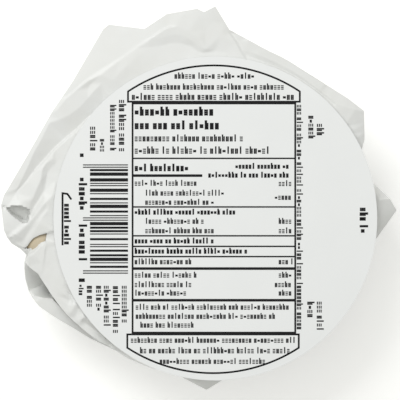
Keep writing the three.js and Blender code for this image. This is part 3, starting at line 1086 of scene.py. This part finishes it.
@dataclass
class Label:
    """The round label, a thin sheet that lies on the folds."""

    form: LabelForm
    centre: Vector
    thickness: float = 0.14
    columns: int = 180
    rings: int = 14
    edge_bevel: float = 0.03
    flat_edge: float = 0.12
    soft_angle: float = 30.0

    def build(self) -> None:
        """Models the sheet from a flat drum that is inset ring by ring, bends it and dresses it."""
        deselect_all()
        bpy.ops.mesh.primitive_cylinder_add(
            vertices=self.columns, radius=self.form.radius, depth=self.thickness, end_fill_type="NGON",
        )
        sheet = bpy.context.object
        sheet.name = "label_sheet"
        mesh = sheet.data
        mesh.name = sheet.name
        bpy.ops.object.mode_set(mode="EDIT")
        bpy.ops.mesh.select_mode(type="FACE")
        bpy.ops.mesh.select_all(action="DESELECT")
        bpy.ops.object.mode_set(mode="OBJECT")
        for face in mesh.polygons:
            face.select = abs(face.normal.z) > NEARLY_LEVEL
        bpy.ops.object.mode_set(mode="EDIT")
        bpy.ops.mesh.inset(thickness=self.flat_edge, use_boundary=True)
        for _ in range(self.rings - 1):
            bpy.ops.mesh.inset(thickness=self.form.radius / self.rings, use_boundary=True)
        bpy.ops.mesh.poke()
        bpy.ops.object.mode_set(mode="OBJECT")
        bevel = sheet.modifiers.new("edge", "BEVEL")
        bevel.width = self.edge_bevel
        bevel.segments = 2
        bevel.limit_method = "ANGLE"
        apply_modifiers(sheet)
        places = vertex_places(mesh)
        for row in places:
            row[2] += self.form.rise(row[0], row[1]) - self.thickness / 2.0
        shift = np.array([self.centre.x, self.centre.y, 0.0])
        set_vertex_places(mesh, places * MM + shift)
        bpy.ops.object.shade_smooth_by_angle(angle=math.radians(self.soft_angle))
        LABEL_STOCK.dress(sheet)
        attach(sheet, "root")
        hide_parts("label")
        LOG.info("%s: %d faces", sheet.name, len(mesh.polygons))


class Weight(Enum):
    """Weights of a row of print, as the share of its height that a stroke takes."""

    PLAIN = 0.2
    BOLD = 0.27


class Run(Enum):
    """Ways that a row of print runs."""

    ACROSS = 0
    DOWN = 1


@dataclass(frozen=True)
class Row:
    """A row of print: where its foot starts, its length and height, in millimetres from the centre."""

    start: Pair
    length: float
    height: float = 1.7
    weight: Weight = Weight.PLAIN
    run: Run = Run.ACROSS


@dataclass(frozen=True)
class Line:
    """A drawn line through points, in millimetres from the label's centre."""

    points: tuple[Pair, ...]
    width: float


TABLE_LEFT, TABLE_RIGHT = -23.5, 22.7
TABLE_TOP, TABLE_FOOT = 32.7, -32.4
FRAME_WIDTH = 0.52
ROW_LEFT, ROW_INSET = -22.9, -19.9
SHARE_LEFT, SHARE_LENGTH = 18.0, 4.0

TABLE_ROWS: tuple[Row, ...] = (
    Row((ROW_LEFT, 29.2), 22.6, 2.6, Weight.BOLD),
    Row((ROW_LEFT, 25.3), 23.7, 2.6, Weight.BOLD),
    Row((ROW_LEFT, 21.9), 31.0, 2.0),
    Row((ROW_LEFT, 18.4), 38.5, 2.1),
    Row((ROW_LEFT, 13.4), 15.6, 2.2, Weight.BOLD),
    Row((5.7, 14.1), 16.0, 1.7, Weight.BOLD),
    Row((-2.0, 11.6), 23.7, 1.7, Weight.BOLD),
    Row((ROW_LEFT, 9.3), 18.2),
    Row((SHARE_LEFT, 9.2), SHARE_LENGTH),
    Row((ROW_INSET, 6.5), 22.4),
    Row((SHARE_LEFT - 1.1, 5.3), SHARE_LENGTH + 1.1),
    Row((ROW_INSET, 3.9), 19.7),
    Row((ROW_LEFT, 1.1), 28.5, 1.7, Weight.BOLD),
    Row((SHARE_LEFT, -1.5), SHARE_LENGTH),
    Row((ROW_INSET, -1.5), 16.6),
    Row((ROW_INSET, -4.2), 19.5),
    Row((SHARE_LEFT, -4.2), SHARE_LENGTH),
    Row((ROW_LEFT, -7.1), 22.9, 1.7, Weight.BOLD),
    Row((ROW_LEFT, -10.0), 32.5, 1.7, Weight.BOLD),
    Row((ROW_LEFT, -13.0), 16.0),
    Row((SHARE_LEFT, -13.0), SHARE_LENGTH),
    Row((ROW_LEFT, -16.8), 17.3),
    Row((SHARE_LEFT, -16.8), SHARE_LENGTH),
    Row((ROW_LEFT, -19.5), 16.0),
    Row((SHARE_LEFT - 1.1, -19.5), SHARE_LENGTH + 1.1),
    Row((ROW_LEFT, -21.9), 14.6),
    Row((SHARE_LEFT, -21.9), SHARE_LENGTH),
    Row((ROW_LEFT + 0.3, -25.9), 43.7),
    Row((ROW_LEFT + 0.3, -28.5), 39.5),
    Row((ROW_LEFT + 1.6, -31.0), 15.2),
)

FRAME_ROWS: tuple[Row, ...] = (
    Row((-11.6, 39.7), 23.1, 1.8),
    Row((-20.4, 36.6), 40.6, 1.8),
    Row((-23.7, 33.7), 47.1, 2.0),
    Row((-24.0, -35.3), 47.1, 1.7),
    Row((-21.4, -38.3), 42.3, 1.8),
    Row((-15.8, -41.3), 30.4, 1.7),
)

def down(start: Pair, length: float, height: float, weight: Weight = Weight.PLAIN) -> Row:
    """Row of print that runs down the label."""
    return Row(start, length, height, weight, Run.DOWN)


SIDE_ROWS: tuple[Row, ...] = (
    down((-27.4, 33.7), 15.1, 2.1),
    down((-29.9, 32.3), 13.3, 1.8),
    down((-32.8, 22.6), 3.7, 1.7),
    down((-35.6, 26.1), 7.1, 2.1),
    down((-43.0, 4.2), 11.8, 2.0, Weight.BOLD),
    down((-38.8, 18.5), 1.6, 2.4, Weight.BOLD),
    down((-38.8, 11.6), 9.9, 2.4, Weight.BOLD),
    down((-38.8, -1.5), 10.5, 2.4, Weight.BOLD),
    down((-38.8, -17.0), 1.4, 2.4, Weight.BOLD),
    down((-38.8, -18.8), 2.8, 1.4, Weight.BOLD),
    down((-36.5, -19.1), 6.5, 2.0),
    down((-33.9, -19.1), 7.4, 2.0),
    down((-31.7, -19.1), 12.2, 2.0),
    down((-29.1, -19.2), 13.2, 2.0),
    down((-26.6, -19.1), 11.1, 2.0),
    down((23.1, 32.3), 64.5, 1.8),
    down((26.4, 29.2), 6.5, 2.0),
    down((28.8, 26.9), 4.3, 2.1),
    down((26.1, -23.6), 4.8, 2.1),
    down((28.8, -23.6), 8.0, 2.0),
    down((41.0, 3.1), 7.1, 2.4, Weight.BOLD),
)


@dataclass(frozen=True)
class Rule:
    """A level line of the table, in millimetres from the label's centre."""

    level: float
    width: float = 0.42
    left: float = TABLE_LEFT
    right: float = TABLE_RIGHT


THICK_RULE = 0.75

RULES: tuple[Rule, ...] = (
    Rule(17.1),
    Rule(12.2, THICK_RULE, right=-3.7),
    Rule(3.3),
    Rule(-4.9),
    Rule(-7.9),
    Rule(-10.8),
    Rule(-14.2, THICK_RULE),
    Rule(-23.2, THICK_RULE),
)


def arched_frame(
    left: float, right: float, base: float, spring: float, crown: float, steps: int = 28,
) -> Line:
    """Frame with a straight base, short upright sides and an arched end.

    Args:
        left: X of its left side.
        right: X of its right side.
        base: Y of its straight base.
        spring: Y where the sides meet the arch.
        crown: Y of the arch's middle.
        steps: straight steps that the arch is made of.

    Returns:
        The frame as one line that ends where it starts.
    """
    half = (right - left) / 2.0
    rise = crown - spring
    radius = (half**2 + rise**2) / (2.0 * abs(rise))
    middle = ((left + right) / 2.0, crown - math.copysign(radius, rise))
    sweep = math.asin(half / radius)
    arch = []
    for step in range(steps + 1):
        turn = mix(-sweep, sweep, step / steps)
        x = middle[0] + radius * math.sin(turn)
        arch.append((x, middle[1] + math.copysign(radius * math.cos(turn), rise)))
    return Line(((left, base), *arch, (right, base), (left, base)), FRAME_WIDTH)


TABLE_FRAME = Line(
    (
        (TABLE_LEFT, TABLE_TOP), (TABLE_RIGHT, TABLE_TOP), (TABLE_RIGHT, TABLE_FOOT),
        (TABLE_LEFT, TABLE_FOOT), (TABLE_LEFT, TABLE_TOP),
    ),
    FRAME_WIDTH,
)
UPPER_FRAME = arched_frame(left=-24.8, right=24.0, base=33.2, spring=36.1, crown=43.5)
LOWER_FRAME = arched_frame(left=-25.0, right=23.7, base=-32.9, spring=-36.7, crown=-43.9)
HOOKED_LINE = Line(((-43.4, -7.6), (-43.4, 7.2), (-42.0, 7.0), (-40.9, 5.4)), 0.55)


@dataclass(frozen=True)
class Marks:
    """Proportions of the marks in a row of print, as shares of the row's height, and their mix."""

    width: float = 0.42
    low: float = 0.72
    advance: float = 0.56
    gap: float = 0.55
    group: tuple[int, int] = (2, 9)
    stack_stroke: float = 0.8
    bar_stroke: float = 1.6
    pairs_below: float = 0.42
    ticks_below: float = 0.55
    stacks_below: float = 0.9
    tall_below: float = 0.3


@dataclass(frozen=True)
class BarField:
    """A field of bars of uneven width, with longer thin bars at its ends and its middle."""

    left: float = -35.6
    guard_left: float = -37.6
    right: float = -24.8
    top: float = 15.4
    module: float = 0.327
    thinner: float = 0.03
    groups: int = 6
    group_modules: int = 7
    group_bars: int = 4
    guard_bars: int = 3
    middle_bars: int = 5

    def lines(self, rng: random.Random) -> Iterator[Line]:
        """Yields the bars, from the top down.

        Args:
            rng: source of the uneven widths.
        """
        ends = (1,) * self.guard_bars
        middle = (1,) * self.middle_bars
        at = self.top
        for widths, left, dark in (
            (ends, self.guard_left, True),
            *((self.group(rng), self.left, False) for _ in range(self.groups)),
            (middle, self.guard_left, False),
            *((self.group(rng), self.left, True) for _ in range(self.groups)),
            (ends, self.guard_left, True),
        ):
            for width in widths:
                step = width * self.module
                if dark:
                    level = at - step / 2.0
                    yield Line(((left, level), (self.right, level)), step - self.thinner)
                at -= step
                dark = not dark

    def group(self, rng: random.Random) -> tuple[int, ...]:
        """Widths in modules of one group of bars and gaps.

        Args:
            rng: source of the uneven widths.

        Returns:
            The widths in order.
        """
        shares = [1] * self.group_bars
        while sum(shares) < self.group_modules:
            shares[rng.randrange(self.group_bars)] += 1
        return tuple(shares)


@dataclass
class Print:
    """The label's print: frames, rules, bars and rows of plain marks, a hair above the label."""

    form: LabelForm
    centre: Vector
    marks: Marks = Marks()
    bars: BarField = BarField()
    raised: float = 0.03
    sunk: float = 0.02
    piece_length: float = 2.5
    sharpest_turn: float = 0.5
    seed: int = 7

    def __post_init__(self) -> None:
        """Starts the lists that the print's mesh is made from."""
        self.points: list[Triple] = []
        self.faces: list[tuple[int, ...]] = []

    def ribbon(self, line: Line) -> None:
        """Adds a closed flat bar along a line.

        Args:
            line: the line's points and width, where a line that ends at its start is a loop.
        """
        loop = line.points[0] == line.points[-1]
        path = self.divided(line.points[:-1] if loop else line.points, loop)
        if not loop:
            path = [self.beyond(path[0], path[1]), *path, self.beyond(path[-1], path[-2])]
        count = len(path)
        inner = range(count) if loop else range(1, count - 1)
        first = len(self.points)
        for i in inner:
            here = Vector(path[i])
            way_in = (here - Vector(path[i - 1])).normalized()
            way_out = (Vector(path[(i + 1) % count]) - here).normalized()
            along = (way_in + way_out).normalized()
            half = line.width / 2.0 / max(self.sharpest_turn, along.dot(way_in))
            out = Vector((-along.y, along.x)) * half
            for side, level in ((1, -self.sunk), (1, self.raised), (-1, self.raised), (-1, -self.sunk)):
                px, py = here.x + side * out.x, here.y + side * out.y
                self.points.append((px, py, self.form.rise(px, py) + level))
        rows = len(inner)
        for i in range(rows if loop else rows - 1):
            a, b = first + 4 * i, first + 4 * ((i + 1) % rows)
            for k in range(4):
                n = (k + 1) % 4
                self.faces.append((a + k, a + n, b + n, b + k))
        if not loop:
            end = first + 4 * (rows - 1)
            self.faces.append((first + 3, first + 2, first + 1, first))
            self.faces.append((end, end + 1, end + 2, end + 3))

    @staticmethod
    def beyond(end: Pair, inner: Pair) -> Pair:
        """Point past the end of a line, as far out as the inner point is in."""
        return 2.0 * end[0] - inner[0], 2.0 * end[1] - inner[1]

    def divided(self, points: tuple[Pair, ...], loop: bool) -> list[Pair]:
        """Points of a line with long stretches divided, so that it follows the label.

        Args:
            points: the line's corners.
            loop: whether the line closes on itself.

        Returns:
            The points in order.
        """
        path: list[Pair] = []
        stretches = list(zip(points, points[1:]))
        if loop:
            stretches.append((points[-1], points[0]))
        for a, b in stretches:
            steps = max(1, math.ceil(math.dist(a, b) / self.piece_length))
            path.extend(mix_pair(a, b, step / steps) for step in range(steps))
        if not loop:
            path.append(points[-1])
        return path

    def stroke(self, row: Row, middle: Pair, length: float, thick: float, upright: bool) -> None:
        """Adds one stroke of a row.

        Args:
            row: the row that it belongs to.
            middle: its middle, along the row from its start and up from its foot.
            length: its length.
            thick: its thickness.
            upright: whether it stands up from the row.
        """
        along, up = middle
        half = length / 2.0
        if upright:
            ends = ((along, up - half), (along, up + half))
        else:
            ends = ((along - half, up), (along + half, up))
        x, y = row.start
        if row.run is Run.ACROSS:
            points = tuple((x + u, y + v) for u, v in ends)
        else:
            points = tuple((x + v, y - u) for u, v in ends)
        self.ribbon(Line(points, thick))

    def cells(self, row: Row, rng: random.Random) -> Iterator[float]:
        """Yields where each mark of a row starts, in groups of uneven length.

        Args:
            row: the row of print.
            rng: source of the uneven lengths.
        """
        advance = row.height * self.marks.advance
        last = row.length - advance / 2.0
        along = 0.0
        while along < last:
            for _ in range(rng.randint(*self.marks.group)):
                if along > last:
                    return
                yield along
                along += advance
            along += advance * self.marks.gap

    def row(self, row: Row, rng: random.Random) -> None:
        """Adds a row of plain marks: pairs of ticks, single ticks, stacks of short bars and dashes.

        Args:
            row: the row of print.
            rng: source of the mix of marks.
        """
        marks = self.marks
        tall = row.height
        low = row.height * marks.low
        thick = row.height * row.weight.value
        width = row.height * marks.width
        for start in self.cells(row, rng):
            kind = rng.random()
            middle = start + width / 2.0
            if kind < marks.pairs_below:
                left_tall = tall if rng.random() < marks.tall_below else low
                self.stroke(row, (start + thick / 2.0, left_tall / 2.0), left_tall, thick, True)
                self.stroke(row, (start + width - thick / 2.0, low / 2.0), low, thick, True)
            elif kind < marks.ticks_below:
                self.stroke(row, (middle, tall / 2.0), tall, thick, True)
            elif kind < marks.stacks_below:
                for level in (thick / 2.0, low / 2.0, low - thick / 2.0):
                    self.stroke(row, (middle, level), width, thick * marks.stack_stroke, False)
            else:
                self.stroke(row, (middle, low / 2.0), width, thick * marks.bar_stroke, False)

    def build(self) -> None:
        """Lays out the whole print, joins it in one mesh and dresses it."""
        rng = random.Random(self.seed)
        for line in (UPPER_FRAME, LOWER_FRAME, TABLE_FRAME):
            self.ribbon(line)
        for rule in RULES:
            self.ribbon(Line(((rule.left, rule.level), (rule.right, rule.level)), rule.width))
        for row in (*TABLE_ROWS, *FRAME_ROWS, *SIDE_ROWS):
            self.row(row, rng)
        for line in self.bars.lines(rng):
            self.ribbon(line)
        self.ribbon(HOOKED_LINE)
        mesh = bpy.data.meshes.new("label_print")
        places = [(self.centre.x + x * MM, self.centre.y + y * MM, z * MM) for x, y, z in self.points]
        mesh.from_pydata(places, [], self.faces)
        mesh.update()
        piece = add_object("label_print", mesh)
        PRINTING_INK.dress(piece)
        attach(piece, "root")
        LOG.info("%s: %d faces", piece.name, len(mesh.polygons))


@dataclass
class Cheese:
    """The ripened wheel itself, which shows through the slit."""

    node: bpy.types.Object

    def dress(self) -> None:
        """Gives the wheel its bloomy rind."""
        BLOOMY_RIND.dress(self.node)
        LOG.info("%s: dressed", self.node.name)


@dataclass
class RindBulge:
    """The ripe rind that swells out to the slit, under the paper."""

    axis: Vector
    place: Triple = (-46.8, -9.1, 23.9)
    reach: Triple = (4.3, 3.0, 2.3)
    turn: float = 36.0
    segments: int = 48

    def build(self) -> None:
        """Models the bulge as a flattened ball along the slit and dresses it."""
        deselect_all()
        bpy.ops.mesh.primitive_uv_sphere_add(
            segments=self.segments, ring_count=self.segments // 2, radius=1.0,
        )
        bulge = bpy.context.object
        bulge.name = "rind_bulge"
        bulge.data.name = bulge.name
        places = vertex_places(bulge.data) * np.array(self.reach)
        turn = math.radians(self.turn)
        x = places[:, 0] * math.cos(turn) - places[:, 1] * math.sin(turn) + self.place[0]
        y = places[:, 0] * math.sin(turn) + places[:, 1] * math.cos(turn) + self.place[1]
        placed = np.stack([x, y, places[:, 2] + self.place[2]], axis=-1) * MM
        set_vertex_places(bulge.data, placed + np.array([self.axis.x, self.axis.y, 0.0]))
        bpy.ops.object.shade_smooth()
        BLOOMY_RIND.dress(bulge)
        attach(bulge, "root")
        LOG.info("%s: %d faces", bulge.name, len(bulge.data.polygons))


@dataclass(frozen=True)
class Light:
    """A soft square light that faces the wheel: place and side in metres, power in watts."""

    name: str
    place: Triple
    side: float
    power: float
    tone: Triple

    def add(self) -> None:
        """Adds the light to the scene."""
        data = bpy.data.lights.new(self.name, "AREA")
        data.size = self.side
        data.energy = self.power
        data.color = self.tone
        light = add_object(self.name, data)
        light.location = self.place
        light.rotation_euler = (-Vector(self.place)).to_track_quat("-Z", "Y").to_euler()


@dataclass
class Studio:
    """Floor, lights and the camera that looks straight down on the label."""

    axis: Vector
    top: float
    distance: float = 0.7
    sensor: float = 36.0
    clip_end: float = 20.0
    mm_per_pixel: float = 0.284
    axis_pixel: Pair = (203.0, 208.0)
    image_centre: Pair = (200.0, 200.0)
    image_pixels: float = 400.0
    floor_size: float = 4.0
    floor_tone: Triple = (0.8, 0.8, 0.78)
    floor_roughness: float = 0.9
    floor_glow: float = 0.35
    lights: tuple[Light, ...] = (
        Light("key_light", (-0.4, 0.6, 0.85), 0.5, 5.4, (0.99, 1.0, 1.01)),
        Light("overhead_softbox", (-0.1, 0.15, 1.3), 1.5, 9.0, (1.0, 1.0, 0.98)),
    )
    fill_tone: Triple = (1.0, 1.0, 0.94)
    fill_strength: float = 0.25

    def add_camera(self) -> None:
        """Adds a long lens above the label, square to it."""
        data = bpy.data.cameras.new("camera")
        data.sensor_width = self.sensor
        view_width = self.image_pixels * self.mm_per_pixel * MM
        data.lens = data.sensor_width * self.distance / view_width
        data.clip_end = self.clip_end
        camera = add_object("camera", data)
        across = (self.image_centre[0] - self.axis_pixel[0]) * self.mm_per_pixel * MM
        up = (self.axis_pixel[1] - self.image_centre[1]) * self.mm_per_pixel * MM
        camera.location = (self.axis.x + across, self.axis.y + up, self.top + self.distance)
        bpy.context.scene.camera = camera

    def add_floor(self) -> None:
        """Adds the plain pale floor."""
        deselect_all()
        bpy.ops.mesh.primitive_plane_add(size=self.floor_size)
        floor = bpy.context.object
        floor.name = "floor"
        material = bpy.data.materials.new("pale_floor")
        material.use_nodes = True
        shader = material.node_tree.nodes["Principled BSDF"]
        shader.inputs["Base Color"].default_value = (*self.floor_tone, 1.0)
        shader.inputs["Roughness"].default_value = self.floor_roughness
        shader.inputs["Emission Color"].default_value = (1.0, 1.0, 1.0, 1.0)
        shader.inputs["Emission Strength"].default_value = self.floor_glow
        floor.data.materials.append(material)

    def add_fill(self) -> None:
        """Adds the even light that comes from all round."""
        world = bpy.data.worlds.new("studio")
        world.use_nodes = True
        fill = world.node_tree.nodes["Background"]
        fill.inputs["Color"].default_value = (*self.fill_tone, 1.0)
        fill.inputs["Strength"].default_value = self.fill_strength
        bpy.context.scene.world = world

    def build(self) -> None:
        """Adds everything that isn't part of the wheel."""
        self.add_camera()
        self.add_floor()
        for light in self.lights:
            light.add()
        self.add_fill()
        bpy.context.scene.view_settings.view_transform = "Standard"


def main() -> None:
    """Builds the wheel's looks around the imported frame."""
    logging.basicConfig(level=logging.INFO, format="%(name)s: %(message)s")
    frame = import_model()
    low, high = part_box("cheese")
    axis = (low + high) / 2.0
    label_low, label_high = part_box("label")
    label_centre = (label_low + label_high) / 2.0
    plan = FoldPlan((*CORNER_FOLDS, *PEAK_FOLDS, *EAR_FOLDS, *LOBE_FOLDS, *SLIT_FOLDS))
    Wrapper(PaperForm(SIZES, CORNERS, plan, DENTS), Slit(), axis).build()
    label_form = LabelForm()
    Label(label_form, label_centre).build()
    Print(label_form, label_centre).build()
    Cheese(frame["nodes"]["cheese"]).dress()
    RindBulge(axis).build()
    Studio(axis, label_high.z).build()


if __name__ == "__main__":
    main()
